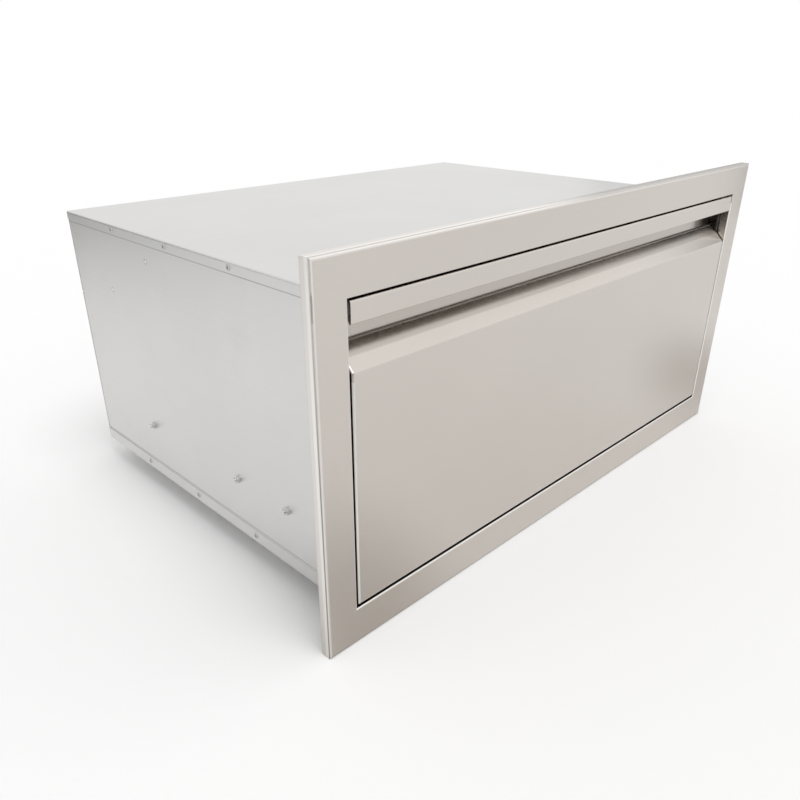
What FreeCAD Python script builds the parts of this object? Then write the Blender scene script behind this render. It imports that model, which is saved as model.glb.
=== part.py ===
"""Built-in drawer unit for an outdoor kitchen island.

A galvanised casing stands in a cut-out of the island. A folded trim frame round its mouth bears on the
island's face. The drawer front sits flush in the trim frame and has a finger pull along its whole width.
The drawer runs on two telescopic ball slides at full extension.

Millimetres. X points right seen from the front, Y to the back and Z up. The origin lies on the plane
where the front flanges bear on the island, mid width, level with the casing's base.
"""
import FreeCAD
import Part
import math
import os

V = FreeCAD.Vector

# Trim frame, a folded border with returns at both edges and a rear lip
trim_width = 762.0
trim_height = 376.4
trim_border_side = 35.3
trim_border_top = 37.3
trim_border_bottom = 39.5
trim_drop = 28.3
trim_depth = 11.5
trim_sheet = 1.2
trim_bend = 2.0
trim_opening_bend = 1.5
trim_lip = 15.0

# Casing of thin galvanised panels
casing_depth = 511.2
casing_side_step = 2.7
casing_head_step = 0.9
casing_sheet = 1.0
casing_bend = 2.2
cover_flange = 9.5
pan_flange = 16.0
rear_flange = 14.0
front_flange_setback = 7.0

# Holes in the casing's sides for the screws that hold the unit in the island
mount_hole_radius = 2.5
mount_hole_setback = 30.0
mount_hole_low = 32.0
mount_hole_top_margin = 37.9

# Drawer front
front_side_gap = 2.5
front_top_gap = 1.2
front_bottom_gap = 3.6
front_sheet = 1.2
front_bend = 2.2
closed_gap = 0.7
mouth_gap = 1.5
strip_height = 20.2
strip_hem = 7.0
grip_height = 40.7
grip_depth = 23.6
grip_roof_fall = 8.0
slope_angle = 45.0
slope_tail = 14.0
liner_sheet = 1.0
liner_bend = 2.5

# Drawer tub
tub_sheet = 1.0
tub_bend = 1.5
tub_rise = 24.0
tub_headroom = 75.9
tub_hem = 8.0
tub_hem_fold = 0.65
tub_flange = 14.0

# Telescopic slides
slide_thickness = 12.7
slide_height = 45.0
slide_level = 70.2
slide_front = 15.1
slide_rear_space = 38.9
slide_overlap_loss = 7.2
slide_sheet = 1.2
slide_bend = 0.9
ball_radius = 2.0
race_gap = 0.3
race_inset = 5.2
race_step = 3.9
race_hook_angle = 40.0
race_cup_angle = 35.0
casing_screw_places = (78.6, 165.9, 348.8)
tub_screw_places = (37.0, 165.0, 400.0)

# Ball cages
cage_length = 200.0
cage_sheet = 0.5
cage_gap = 0.3
cage_pocket_gap = 0.1
cage_row_count = 3
cage_ball_margin = 14.0

# Release levers on the inner slide members
lever_place = 360.0
lever_length = 52.0
lever_height = 8.0
lever_thickness = 3.2
lever_side_gap = 0.3
lever_pin_radius = 2.0
lever_pin_head_radius = 3.2
lever_pin_head_height = 0.8

# Screws, nuts, rivets and pins, whose round parts are drawn with flats
fastener_flat_count = 8
hole_gap = 0.05
slide_screw_radius = 2.5
slide_screw_head_radius = 4.6
slide_screw_head_height = 1.3
slide_screw_end = 2.6
nut_width = 8.0
nut_height = 4.0
nut_flat_count = 6
tub_screw_radius = 2.0
tub_screw_head_radius = 3.6
tub_screw_top_radius = 2.2
tub_screw_head_height = 1.6
tub_screw_tip = 1.5
front_screw_inset = 60.0
front_screw_margin = 40.0
rivet_radius = 1.6
rivet_head_radius = 3.2
rivet_top_radius = 1.8
rivet_head_height = 1.1
rivet_pitch = 117.9
rivet_first = 37.8
rivet_edge_count = 4
rivet_back_count = 2
rivet_back_pitch = 206.6

# Rubber bumpers on the casing's back
bumper_flat_count = 16
bumper_radius = 9.0
bumper_tip_radius = 7.0
bumper_height = 18.9
bumper_gap = 0.3
bumper_inset = 120.0
bumper_level = 110.0

# Places that follow from the sizes above
flange_front = -casing_sheet
front_plane = flange_front - trim_depth
trim_bottom = -trim_drop
trim_top = trim_bottom + trim_height
opening_half = trim_width / 2 - trim_border_side
opening_bottom = trim_bottom + trim_border_bottom
opening_top = trim_top - trim_border_top
casing_half = opening_half - casing_side_step
casing_height = opening_top - casing_head_step
side_outer = casing_half - casing_sheet
side_inner = side_outer - casing_sheet
back_outer = casing_depth - casing_sheet
back_inner = back_outer - casing_sheet
front_half = opening_half - front_side_gap
front_bottom = opening_bottom + front_bottom_gap
front_top = opening_top - front_top_gap
strip_bottom = front_top - strip_height
crest = strip_bottom - grip_height
return_rear = flange_front - closed_gap
mouth_half = side_inner - mouth_gap
grip_back = front_plane + grip_depth
liner_front = grip_back + front_sheet
liner_rear = liner_front + liner_sheet
tub_outer = side_inner - slide_thickness
tub_inner = tub_outer - tub_sheet
tub_back = back_inner - bumper_height - bumper_gap
tub_top = casing_height - tub_headroom
slide_length = casing_depth - slide_front - slide_rear_space
slide_rear = slide_front + slide_length
slide_travel = slide_length - slide_overlap_loss
race_radius = ball_radius + race_gap + slide_sheet / 2
race_drop = math.sqrt((2 * race_radius) ** 2 - race_step ** 2)
outer_race_level = slide_height / 2 - slide_sheet / 2 - race_radius
inner_race_level = outer_race_level - race_drop
inner_race_inset = race_inset + race_step
web_bend = slide_bend + slide_sheet / 2
cage_front = slide_front + slide_travel / 4 + (slide_length - slide_travel / 2 - cage_length) / 2


def box(x_range, y_range, z_range):
    """A block between the given ranges."""
    corner = V(x_range[0], y_range[0], z_range[0])
    return Part.makeBox(x_range[1] - x_range[0], y_range[1] - y_range[0], z_range[1] - z_range[0], corner)


def cylinder(radius, length, start, toward):
    """A round bar from start."""
    return Part.makeCylinder(radius, length, V(*start), V(*toward))


def flatted_bar(flat_count, length, start, toward, radius, end_radius):
    """A straight or tapered bar with flats, from start."""
    step = V(*toward)
    first = V(step.z, step.x, step.y)
    second = step.cross(first)
    turns = [2 * math.pi * count / flat_count for count in range(flat_count)]
    spokes = [first * math.cos(turn) + second * math.sin(turn) for turn in turns]
    near = [V(*start) + spoke * radius for spoke in spokes]
    far = [V(*start) + step * length + spoke * end_radius for spoke in spokes]
    rims = [near, far]
    for count in range(flat_count):
        after = (count + 1) % flat_count
        rims.append([near[count], near[after], far[after], far[count]])
    shell = Part.makeShell([Part.Face(Part.makePolygon(rim + rim[:1])) for rim in rims])
    bar = Part.makeSolid(shell)
    return bar if bar.Volume > 0 else bar.reversed()


def fastener_bar(radius, length, start, toward):
    """A fastener's straight shank."""
    return flatted_bar(fastener_flat_count, length, start, toward, radius, radius)


def fastener_head(radius, top_radius, height, start, toward):
    """A fastener's tapered head."""
    return flatted_bar(fastener_flat_count, height, start, toward, radius, top_radius)


def fastener_holes(shape, radius, length, places, toward):
    """A shape with clearance holes for shanks, from places."""
    bars = [fastener_bar(radius + hole_gap, length, place, toward) for place in places]
    return shape.cut(Part.makeCompound(bars))


def in_plane(axis, u, v):
    """A point of a section that is drawn across the given axis."""
    return {"X": V(0, u, v), "Y": V(u, 0, v), "Z": V(u, v, 0)}[axis]


def along(axis, distance):
    """A step of the given distance along an axis."""
    return {"X": V(distance, 0, 0), "Y": V(0, distance, 0), "Z": V(0, 0, distance)}[axis]


def polygon(axis, points, start, end):
    """A prism of a straight-sided outline."""
    corners = [in_plane(axis, u, v) for u, v in points]
    face = Part.Face(Part.makePolygon(corners + corners[:1]))
    solid = face.extrude(along(axis, end - start))
    solid.translate(along(axis, start))
    return solid


def side_path(points, bends, shift):
    """One side of a folded sheet's section, shift to the left of its middle line."""
    path = []
    count = len(points)
    for index, (u, v) in enumerate(points):
        before = direction(points[index - 1], points[index]) if index > 0 else None
        after = direction(points[index], points[index + 1]) if index < count - 1 else None
        if before is None or after is None:
            du, dv = before or after
            path.append(((u - dv * shift, v + du * shift),))
            continue
        cross = before[0] * after[1] - before[1] * after[0]
        turn = math.atan2(cross, before[0] * after[0] + before[1] * after[1])
        sign = math.copysign(1.0, turn)
        radius = bends[index - 1]
        reach = radius * math.tan(abs(turn) / 2)
        entry = (u - before[0] * reach, v - before[1] * reach)
        leave = (u + after[0] * reach, v + after[1] * reach)
        centre = (entry[0] - before[1] * radius * sign, entry[1] + before[0] * radius * sign)
        bend = radius - sign * shift
        middle = direction(centre, (u, v))
        first = direction(centre, entry)
        last = direction(centre, leave)
        path.append(tuple((centre[0] + d[0] * bend, centre[1] + d[1] * bend) for d in (first, middle, last)))
    return path


def direction(start, end):
    """The unit vector from start to end."""
    length = math.hypot(end[0] - start[0], end[1] - start[1])
    return ((end[0] - start[0]) / length, (end[1] - start[1]) / length)


def folded_sheet(axis, points, bends, sheet, start, end):
    """A bent sheet of even thickness, from its section's middle line and bend radii."""
    left = side_path(points, bends, sheet / 2)
    right = [step[::-1] for step in side_path(points, bends, -sheet / 2)[::-1]]
    steps = left + right
    edges = []
    pen = steps[-1][-1]
    for step in steps:
        if math.dist(pen, step[0]) > 1e-6:
            edges.append(Part.LineSegment(in_plane(axis, *pen), in_plane(axis, *step[0])).toShape())
        if len(step) == 3:
            edges.append(Part.Arc(*[in_plane(axis, *point) for point in step]).toShape())
        pen = step[-1]
    face = Part.Face(Part.Wire(Part.__sortEdges__(edges)))
    solid = face.extrude(along(axis, end - start))
    solid.translate(along(axis, start))
    return solid


def round_edges(shape, radius, wanted):
    """Rounds the edges for which wanted is true."""
    edges = [edge for edge in shape.Edges if wanted(edge)]
    return shape.makeFillet(radius, edges)


def lies_at(edge, axis, value):
    """Whether both ends of an edge lie at one value of an axis."""
    return all(abs(getattr(vertex.Point, axis) - value) < 1e-4 for vertex in edge.Vertexes)


def mirrored(shape):
    """The same piece on the other side of the unit."""
    return shape.mirror(V(0, 0, 0), V(1, 0, 0))


def turned_over(shape):
    """The same slide piece turned over for the right-hand side."""
    turned = shape.copy()
    turned.rotate(V(0, 0, slide_level), V(0, 1, 0), 180)
    return turned


def ring(inset, depth_range):
    """A rectangular ring between the opening grown by inset[0] and the outside shrunk by inset[1]."""
    half = trim_width / 2 - inset[1]
    outside = box((-half, half), depth_range, (trim_bottom + inset[1], trim_top - inset[1]))
    hole = opening_half + inset[0]
    inside = box((-hole, hole), depth_range, (opening_bottom - inset[0], opening_top + inset[0]))
    return outside.cut(inside)


def rounded_ring(inset, front, rear):
    """A ring within the trim's sheet, rounded along the front edges of its outside and of its opening."""
    body = ring((inset, inset), (front, rear))
    outside = trim_width / 2 - inset
    for at_outside, bend in ((True, trim_bend), (False, trim_opening_bend)):
        body = round_edges(body, bend - inset, lambda edge: lies_at(edge, "y", front)
                           and lies_outside(edge, outside) == at_outside)
    return body


def lies_outside(edge, half):
    """Whether an edge belongs to the ring's outside rather than to its opening."""
    return max(abs(vertex.Point.x) for vertex in edge.Vertexes) > half - trim_border_side / 2


def trim_frame():
    """Folded border with an outer return, an inner return and a rear lip."""
    rear = flange_front
    body = rounded_ring(0, front_plane, rear)
    hollow = rounded_ring(trim_sheet, front_plane + trim_sheet, rear - trim_sheet)
    back_way = ring((trim_sheet, trim_lip), (rear - 2 * trim_sheet, rear))
    return body.cut(hollow).cut(back_way)


def casing_side():
    """Right-hand side panel: front flange outward, wall, rear flange inward."""
    middle = casing_sheet / 2
    wall = side_outer - middle
    flange_end = trim_width / 2 - front_flange_setback
    rear = back_inner - middle
    points = [(flange_end, -middle), (wall, -middle), (wall, rear), (side_inner - rear_flange, rear)]
    bend = casing_bend - middle
    panel = folded_sheet("Z", points, [bend, bend], casing_sheet, casing_bend, casing_height - casing_bend)
    screws = [(side_inner, slide_front + place, slide_level) for place in casing_screw_places]
    panel = fastener_holes(panel, slide_screw_radius, casing_sheet, screws, (1, 0, 0))
    rivets = [(side_outer, depth, level) for _, depth, level in edge_rivet_places()]
    panel = fastener_holes(panel, rivet_radius, casing_sheet, rivets, (-1, 0, 0))
    rivets = [(across, back_inner, level) for across, _, level in back_rivet_places()]
    panel = fastener_holes(panel, rivet_radius, casing_sheet, rivets, (0, -1, 0))
    mounts = [cylinder(mount_hole_radius, casing_sheet, (side_inner, mount_hole_setback, level), (1, 0, 0))
              for level in (mount_hole_low, casing_height - mount_hole_top_margin)]
    return panel.cut(Part.makeCompound(mounts))


def spread(count, pitch, centre):
    """Evenly pitched values on both sides of a centre."""
    return [centre + (step - (count - 1) / 2) * pitch for step in range(count)]


def edge_rivet_levels():
    """Heights of the rivet rows in the cover's and the pan's side flanges."""
    return (casing_height - (casing_bend + cover_flange) / 2, (casing_bend + pan_flange) / 2)


def edge_rivet_places():
    """Rivets through the right-hand side flanges, on their outer face."""
    return [(casing_half, rivet_first + count * rivet_pitch, level)
            for level in edge_rivet_levels() for count in range(rivet_edge_count)]


def back_rivet_places():
    """Rivets through the back panel and the right-hand rear flange, on the panel's outer face."""
    across = side_inner - (rear_flange + casing_bend) / 2
    levels = spread(rivet_back_count, rivet_back_pitch, casing_height / 2)
    return [(across, back_outer, level) for level in levels]


def casing_lid(outer, inner, flange_end, rear_end, front_end):
    """Cover or pan: side flanges over the side panels, a front flange and a rear flange."""
    middle = casing_sheet / 2
    bend = casing_bend - middle
    level = (outer + inner) / 2
    side = casing_half - middle
    across = [(-side, flange_end), (-side, level), (side, level), (side, flange_end)]
    plate = folded_sheet("Y", across, [bend, bend], casing_sheet, casing_bend, casing_depth - casing_bend)
    rear = casing_depth - middle
    lengthways = [(-middle, front_end), (-middle, level), (rear, level), (rear, rear_end)]
    flanges = folded_sheet("X", lengthways, [bend, bend], casing_sheet, -side_inner, side_inner)
    lid = plate.fuse(flanges).removeSplitter()
    row = min(edge_rivet_levels(), key=lambda rise: abs(rise - level))
    places = [place for place in edge_rivet_places() if place[2] == row]
    lid = fastener_holes(lid, rivet_radius, casing_sheet, places, (-1, 0, 0))
    return fastener_holes(lid, rivet_radius, casing_sheet, [(-x, y, z) for x, y, z in places], (1, 0, 0))


def casing_cover():
    """Top cover, whose front flange stands up behind the trim frame."""
    return casing_lid(casing_height, casing_height - casing_sheet, casing_height - cover_flange,
                      casing_height - rear_flange, trim_top - front_flange_setback)


def casing_pan():
    """Bottom pan, whose front flange hangs down behind the trim frame."""
    return casing_lid(0.0, casing_sheet, pan_flange, rear_flange, trim_bottom + front_flange_setback)


def casing_back():
    """Flat back panel behind the side panels' rear flanges."""
    half = side_outer
    panel = box((-half, half), (back_inner, back_outer), (casing_bend, casing_height - casing_bend))
    for side in (-1, 1):
        places = [(side * across, depth, level) for across, depth, level in back_rivet_places()]
        panel = fastener_holes(panel, rivet_radius, casing_sheet, places, (0, -1, 0))
    return panel


def rivet(place, toward):
    """A rivet whose head stands on place and whose shank fills two sheets behind it."""
    shank = fastener_bar(rivet_radius, 2 * casing_sheet, place, [-part for part in toward])
    head = fastener_head(rivet_head_radius, rivet_top_radius, rivet_head_height, place, toward)
    return shank.fuse(head)


def casing_rivets():
    """All rivets of the casing's side flanges and back panel."""
    right = [rivet(place, (1, 0, 0)) for place in edge_rivet_places()]
    right += [rivet(place, (0, 1, 0)) for place in back_rivet_places()]
    return Part.makeCompound(right + [mirrored(piece) for piece in right])


def slide_nuts():
    """The nuts of the right-hand casing screws."""
    nuts = []
    corner = nut_width / math.sqrt(3)
    for place in casing_screw_places:
        start = (side_outer, slide_front + place, slide_level)
        nut = flatted_bar(nut_flat_count, nut_height, start, (1, 0, 0), corner, corner)
        nuts.append(fastener_holes(nut, slide_screw_radius, nut_height, [start], (1, 0, 0)))
    return Part.makeCompound(nuts)


def slide_screws():
    """Screws from the right-hand outer slide member through the casing's side."""
    seat = side_inner - slide_sheet
    length = side_outer + nut_height + slide_screw_end - seat
    screws = []
    for place in casing_screw_places:
        start = (seat, slide_front + place, slide_level)
        shank = fastener_bar(slide_screw_radius, length, start, (1, 0, 0))
        screws.append(shank.fuse(fastener_head(slide_screw_head_radius, slide_screw_radius,
                                               slide_screw_head_height, start, (-1, 0, 0))))
    return Part.makeCompound(screws)


def bumpers():
    """Rubber bumpers on the back panel, just behind the closed tub."""
    pieces = []
    for across in (-tub_outer + bumper_inset, tub_outer - bumper_inset):
        start = (across, back_inner, bumper_level)
        pieces.append(flatted_bar(bumper_flat_count, bumper_height, start, (0, -1, 0), bumper_radius,
                                  bumper_tip_radius))
    return Part.makeCompound(pieces)


def slope_level(depth):
    """Height of the finger pull's slope at a depth behind the front plane."""
    return crest + depth * math.tan(math.radians(slope_angle))


def front_panel():
    """Flat front with side and bottom returns, and the finger pull's slope above it."""
    sheet_rise = front_sheet / math.cos(math.radians(slope_angle))
    depth = return_rear - front_plane
    outline = [(front_plane, front_bottom), (front_plane, crest), (return_rear, slope_level(depth)),
               (return_rear, front_bottom)]
    body = polygon("X", outline, -front_half, front_half)
    body = round_edges(body, front_bend, front_panel_edge)
    inside_front = front_plane + front_sheet
    inside_low = front_bottom + front_sheet
    inside = [(inside_front, inside_low), (inside_front, slope_level(front_sheet) - sheet_rise),
              (return_rear, slope_level(depth) - sheet_rise), (return_rear, inside_low)]
    half = front_half - front_sheet
    hollow = polygon("X", inside, -half, half)
    hollow = round_edges(hollow, front_bend - front_sheet, hollow_edge)
    tail_y = grip_back - front_sheet / 2
    tail_z = slope_level(tail_y - front_plane) - sheet_rise / 2
    start_y = return_rear - front_sheet
    start_z = slope_level(start_y - front_plane) - sheet_rise / 2
    points = [(start_y, start_z), (tail_y, tail_z), (tail_y, tail_z - slope_tail)]
    tail = folded_sheet("X", points, [front_bend - front_sheet / 2], front_sheet, -mouth_half, mouth_half)
    return body.cut(hollow).fuse(tail).removeSplitter()


def front_panel_edge(edge):
    """The front panel's bent edges: round its face and along the ends of its slope."""
    middle = edge.CenterOfMass
    at_front = lies_at(edge, "y", front_plane)
    at_end = abs(abs(middle.x) - front_half) < 1e-4
    on_slope = at_end and middle.z > crest and middle.y < return_rear - 1e-4
    return at_front or on_slope


def hollow_edge(edge):
    """The same edges on the panel's inner side."""
    middle = edge.CenterOfMass
    at_front = lies_at(edge, "y", front_plane + front_sheet)
    at_end = abs(abs(middle.x) - (front_half - front_sheet)) < 1e-4
    top = slope_level(front_sheet) - front_sheet / math.cos(math.radians(slope_angle))
    on_slope = at_end and middle.z > top and middle.y < return_rear - 1e-4
    return at_front or on_slope


def handle_channel():
    """Top strip with a hemmed lower edge, a sloped roof and the finger pull's back wall."""
    half = front_sheet / 2
    hem = 0.65 * front_sheet
    strip = front_plane + half
    fold = strip + 2 * hem
    low = strip_bottom + half
    top = front_top - half
    wall = grip_back + half
    roof = top - grip_roof_fall
    points = [(fold, low + strip_hem), (fold, low), (strip, low), (strip, top), (wall, roof),
              (wall, crest + front_sheet)]
    bends = [hem, hem, front_bend - half, front_bend - half]
    channel = folded_sheet("X", points, bends, front_sheet, -front_half, front_half)
    for side in (-1, 1):
        ends = sorted((side * mouth_half, side * (front_half + 1)))
        channel = channel.cut(box(ends, (return_rear, liner_rear), (crest - 1, front_top + 1)))
    return channel


def front_liner():
    """Back skin of the drawer front with forward flanges at its sides and bottom."""
    low = front_bottom + front_sheet
    middle = liner_sheet / 2
    bend = liner_bend - middle
    side = mouth_half - middle
    face_back = front_plane + front_sheet
    plate = liner_front + middle
    high = crest - front_bend
    plan = [(-side, face_back), (-side, plate), (side, plate), (side, face_back)]
    lower = folded_sheet("Z", plan, [bend, bend], liner_sheet, low + liner_bend, high)
    top = front_top - grip_roof_fall - front_bend
    section = [(front_plane + front_bend, low + middle), (plate, low + middle), (plate, top)]
    spine = folded_sheet("X", section, [bend], liner_sheet, bend - side, side - bend)
    liner = lower.fuse(spine).removeSplitter()
    places = [(across, liner_rear, level) for across, _, level in front_screw_places()]
    return fastener_holes(liner, tub_screw_radius, liner_sheet, places, (0, -1, 0))


def front_screw_places():
    """Screws that hold the tub to the drawer front, on the tub front's inner face."""
    levels = (tub_rise + front_screw_margin, tub_top - front_screw_margin)
    columns = (-tub_outer + front_screw_inset, 0.0, tub_outer - front_screw_inset)
    return [(across, liner_rear + tub_sheet, level) for level in levels for across in columns]


def tub_side():
    """Right-hand tub wall: hemmed top edge and an inward flange under the floor."""
    middle = tub_sheet / 2
    hem = tub_hem_fold * tub_sheet
    wall = tub_outer - middle
    fold = wall - 2 * hem
    top = tub_top - middle
    low = tub_rise + middle
    points = [(fold, top - tub_hem), (fold, top), (wall, top), (wall, low), (wall - tub_flange, low)]
    bend = tub_bend - middle
    side = folded_sheet("Y", points, [hem, hem, bend], tub_sheet, liner_rear, tub_back)
    places = [(tub_inner, slide_front + place, slide_level) for place in tub_screw_places]
    return fastener_holes(side, tub_screw_radius, tub_sheet, places, (1, 0, 0))


def tub_end(front_face, inward):
    """A tub end wall: hemmed top edge and tabs against the side walls."""
    middle = tub_sheet / 2
    hem = tub_hem_fold * tub_sheet
    wall = front_face + inward * middle
    fold = wall + inward * 2 * hem
    top = tub_top - middle
    low = tub_rise + 2 * tub_sheet
    section = [(fold, top - tub_hem), (fold, top), (wall, top), (wall, low)]
    half = tub_inner - 2 * hem - 2 * tub_sheet
    wall_sheet = folded_sheet("X", section, [hem, hem], tub_sheet, -half, half)
    side = tub_inner - middle
    tab = wall + inward * tub_flange
    plan = [(-side, tab), (-side, wall), (side, wall), (side, tab)]
    bend = tub_bend - middle
    tabs = folded_sheet("Z", plan, [bend, bend], tub_sheet, low, tub_top - tub_hem - 2 * tub_sheet)
    return wall_sheet.fuse(tabs).removeSplitter()


def tub_front():
    """The tub's front wall with the holes of the screws that hold the drawer front."""
    wall = tub_end(liner_rear, 1)
    return fastener_holes(wall, tub_screw_radius, tub_sheet, front_screw_places(), (0, -1, 0))


def tub_floor():
    """Flat floor on the side walls' inward flanges."""
    low = tub_rise + tub_sheet
    half = tub_outer - tub_bend
    return box((-half, half), (liner_rear, tub_back), (low, low + tub_sheet))


def front_screws():
    """Screws from inside the tub into the drawer front's liner."""
    grip = tub_sheet + liner_sheet
    return Part.makeCompound([tub_screw(place, (0, 1, 0), grip) for place in front_screw_places()])


def tub_screw(place, toward, grip):
    """A screw whose head stands on place and whose shank runs through the grip behind it."""
    head = fastener_head(tub_screw_head_radius, tub_screw_top_radius, tub_screw_head_height, place, toward)
    shank = fastener_bar(tub_screw_radius, grip + tub_screw_tip, place, [-part for part in toward])
    return head.fuse(shank)


def slide_place(inset, rise):
    """A section point of the left-hand slide: inset from the casing's wall, rise from its centre."""
    return (-side_inner + inset, slide_level + rise)


def slide_section(upper):
    """The whole section from its upper half, which runs from the free end to the web."""
    lower = [(inset, -rise) for inset, rise in upper[::-1]]
    return [slide_place(inset, rise) for inset, rise in upper + lower]


def both_halves(bends):
    """Bend radii for a section and its mirror image."""
    return bends + bends[::-1]


def slide_outer():
    """Outer member: a channel on the casing whose edges hook over the outer balls."""
    edge = race_inset + race_radius
    level = outer_race_level + race_radius
    web = slide_sheet / 2
    points = slide_section([(edge, outer_race_level), (edge, level), (web, level)])
    bends = both_halves([race_radius, web_bend])
    member = folded_sheet("Y", points, bends, slide_sheet, slide_front, slide_rear)
    places = [(-side_inner, slide_front + place, slide_level) for place in casing_screw_places]
    return fastener_holes(member, slide_screw_radius, slide_sheet, places, (1, 0, 0))


def slide_middle():
    """Middle member: an S-shaped edge cups the outer balls and hooks over the inner balls."""
    hook = math.radians(race_hook_angle)
    turn = (math.pi / 2 - hook) / 2
    crossing_inset = (race_inset + inner_race_inset) / 2
    crossing_level = (outer_race_level + inner_race_level) / 2
    hook_level = inner_race_level + race_radius
    cup_level = outer_race_level - race_radius
    slant = race_drop / race_step
    upper = [
        (inner_race_inset + race_radius * math.cos(hook), inner_race_level + race_radius * math.sin(hook)),
        (inner_race_inset + race_radius * math.tan(turn), hook_level),
        (crossing_inset + (hook_level - crossing_level) * slant, hook_level),
        (crossing_inset + (cup_level - crossing_level) * slant, cup_level),
        (race_inset - slide_bend, cup_level),
    ]
    bends = both_halves([race_radius, race_radius, race_radius, slide_bend])
    return folded_sheet("Y", slide_section(upper), bends, slide_sheet, slide_front, slide_rear)


def slide_inner():
    """Inner member: a channel on the tub whose edges cup the inner balls."""
    cup = math.radians(race_cup_angle)
    turn = (math.pi / 2 - cup) / 2
    level = inner_race_level - race_radius
    web = slide_thickness - slide_sheet / 2
    upper = [
        (inner_race_inset - race_radius * math.cos(cup), inner_race_level - race_radius * math.sin(cup)),
        (inner_race_inset - race_radius * math.tan(turn), level),
        (web, level),
    ]
    bends = both_halves([race_radius, web_bend])
    member = folded_sheet("Y", slide_section(upper), bends, slide_sheet, slide_front, slide_rear)
    places = [(-tub_outer, slide_front + place, slide_level) for place in tub_screw_places]
    member = fastener_holes(member, tub_screw_radius, slide_sheet, places, (-1, 0, 0))
    pin_hole = (-tub_outer, slide_front + lever_place, slide_level)
    return fastener_holes(member, lever_pin_radius, slide_sheet, [pin_hole], (-1, 0, 0))


def tub_screws():
    """Screws from the left-hand inner member into the tub's wall."""
    grip = slide_sheet + tub_sheet
    places = [(-tub_outer - slide_sheet, slide_front + place, slide_level) for place in tub_screw_places]
    return Part.makeCompound([tub_screw(place, (-1, 0, 0), grip) for place in places])


def ball_centres(inset, rise):
    """Centres of one cage's balls, in its upper and lower rows."""
    pitch = (cage_length - 2 * cage_ball_margin) / (cage_row_count - 1)
    centres = []
    for side in (-1, 1):
        across, level = slide_place(inset, side * rise)
        depths = spread(cage_row_count, pitch, cage_front + cage_length / 2)
        centres += [V(across, depth, level) for depth in depths]
    return centres


def ball(centre):
    """A ball drawn with 26 flats: a cube with its edges cut back until all flats are alike."""
    share = math.sqrt(2) - 1
    half = ball_radius / math.sqrt(1 + 2 * share ** 2)
    cube = Part.makeBox(2 * half, 2 * half, 2 * half, centre - V(half, half, half))
    return cube.makeChamfer(half * (1 - share), cube.Edges)


def balls(inset, rise):
    """The balls of one cage."""
    return Part.makeCompound([ball(centre) for centre in ball_centres(inset, rise)])


def ball_cage(web_inset, inset, rise):
    """A thin channel with a window round each ball."""
    web, _ = slide_place(web_inset, 0)
    edge, _ = slide_place(inset + ball_radius - cage_gap, 0)
    middle = cage_sheet / 2
    length = (cage_front, cage_front + cage_length)
    outside = box((web, edge), length, (slide_level - rise - middle, slide_level + rise + middle))
    inside = box((web + cage_sheet, edge), length, (slide_level - rise + middle, slide_level + rise - middle))
    window = ball_radius + cage_pocket_gap
    cuts_web = inset - window < web_inset + cage_sheet
    reach = inset - web_inset if cuts_web else window
    cutters = [box((centre.x - reach, centre.x + window), (centre.y - window, centre.y + window),
                   (centre.z - cage_sheet, centre.z + cage_sheet)) for centre in ball_centres(inset, rise)]
    return outside.cut(inside).cut(Part.makeCompound(cutters))


def outer_cage():
    """Cage between the outer and the middle member."""
    middle_web = race_inset - slide_bend - slide_sheet / 2
    return ball_cage(middle_web - cage_gap - cage_sheet, race_inset, outer_race_level)


def inner_cage():
    """Cage between the middle and the inner member."""
    middle_web = race_inset - slide_bend + slide_sheet / 2
    return ball_cage(middle_web + cage_gap, inner_race_inset, inner_race_level)


def release_lever():
    """Plastic lever in the left-hand inner member, on a pin at its rear end."""
    pivot_y = slide_front + lever_place
    near = -tub_outer - slide_sheet - lever_side_gap
    half = lever_height / 2
    nose = pivot_y - lever_length
    outline = [(pivot_y, half), (pivot_y - 0.35 * lever_length, half * 0.55), (nose + half, half * 0.75),
               (nose, half * 0.3), (nose, -half * 0.75), (nose + half, -half * 0.75),
               (pivot_y - 0.35 * lever_length, -half * 0.55), (pivot_y, -half)]
    outline = [(y, slide_level + rise) for y, rise in outline]
    bar = polygon("X", outline, near - lever_thickness, near)
    hub = cylinder(half, lever_thickness, (near - lever_thickness, pivot_y, slide_level), (1, 0, 0))
    bore = cylinder(lever_pin_radius + hole_gap, lever_thickness, (near, pivot_y, slide_level), (-1, 0, 0))
    return bar.fuse(hub).removeSplitter().cut(bore)


def lever_pin():
    """The pin that the release lever rocks on, riveted into the inner member's web."""
    pivot_y = slide_front + lever_place
    near = -tub_outer
    reach = slide_sheet + 2 * lever_side_gap + lever_thickness
    shank = fastener_bar(lever_pin_radius, reach, (near, pivot_y, slide_level), (-1, 0, 0))
    seat = (near - reach, pivot_y, slide_level)
    return shank.fuse(fastener_head(lever_pin_head_radius, lever_pin_radius, lever_pin_head_height, seat,
                                    (-1, 0, 0)))


def slide_pieces():
    """The left-hand slide's pieces by name."""
    return {
        "slide_outer": slide_outer(),
        "slide_middle": slide_middle(),
        "slide_inner": slide_inner(),
        "outer_ball_cage": outer_cage(),
        "inner_ball_cage": inner_cage(),
        "outer_balls": balls(race_inset, outer_race_level),
        "inner_balls": balls(inner_race_inset, inner_race_level),
        "tub_screws": tub_screws(),
        "release_lever": release_lever(),
        "lever_pin": lever_pin(),
    }


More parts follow.
